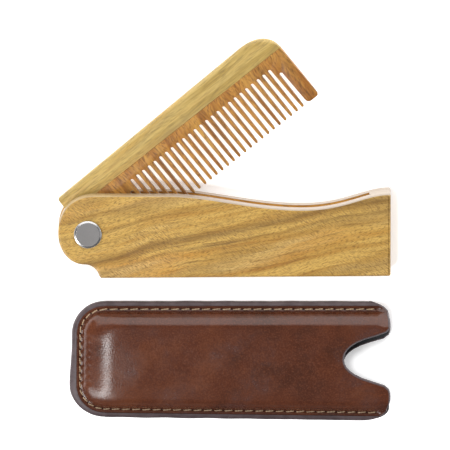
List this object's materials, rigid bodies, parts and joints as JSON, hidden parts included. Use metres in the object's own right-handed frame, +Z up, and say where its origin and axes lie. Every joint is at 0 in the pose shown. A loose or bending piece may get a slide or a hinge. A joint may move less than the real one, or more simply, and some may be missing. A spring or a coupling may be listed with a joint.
{
  "type": "folding beard comb",
  "caption": "Folding wooden pocket comb: a toothed blade swings out of a riveted handle, beside its stitched leather sheath.",
  "frame": {"origin": "middle of the handle's length, on the pivot's centreline, on the handle's flat back face, which lies on the table", "axes": "+Z up from the table through the handle's thickness, +X along the handle from the pivot towards the tail, +Y towards the edge that the comb swings out of; the sheath lies on the -Y side"},
  "size_m": [0.1108, 0.1295, 0.0154],
  "materials": {
    "handle_wood": "polished, waxed",
    "spine_wood": "polished, waxed",
    "tooth_wood": "polished, waxed",
    "rivet_steel": "satin face, polished bevel",
    "washer_brass": "satin",
    "leather": "smooth, semi-gloss, mottled",
    "lining": "matt",
    "edge_paint": "satin",
    "thread": "waxed thread"
  },
  "bodies": {
    "handle": {"handle_front_scale": "handle_wood", "handle_back_scale": "handle_wood", "handle_spacer": "handle_wood", "pivot_rivet_post": "rivet_steel", "pivot_rivet_cap": "rivet_steel", "pivot_washer_front": "washer_brass", "pivot_washer_back": "washer_brass"},
    "blade": {"comb_spine": "spine_wood", "comb_tooth_plate": "tooth_wood"},
    "sheath": {"sheath_front_panel": "leather", "sheath_back_panel": "leather", "sheath_front_lining": "lining", "sheath_back_lining": "lining", "sheath_edge_coat": "edge_paint", "sheath_front_mouth_coat": "edge_paint", "sheath_back_mouth_coat": "edge_paint", "sheath_front_thread": "thread", "sheath_back_thread": "thread"}
  },
  "joints": [
    {"name": "blade_fold", "type": "hinge", "parent": "handle", "child": "blade", "pos_m": [-0.04555, 0, 0.006], "axis": [0, 0, 1], "range_deg": [-38.9, 149]},
    {"name": "sheath_apart", "type": "slide", "parent": "handle", "child": "sheath", "axis": [0, -1, 0], "range_m": [0, 0.06]}
  ]
}
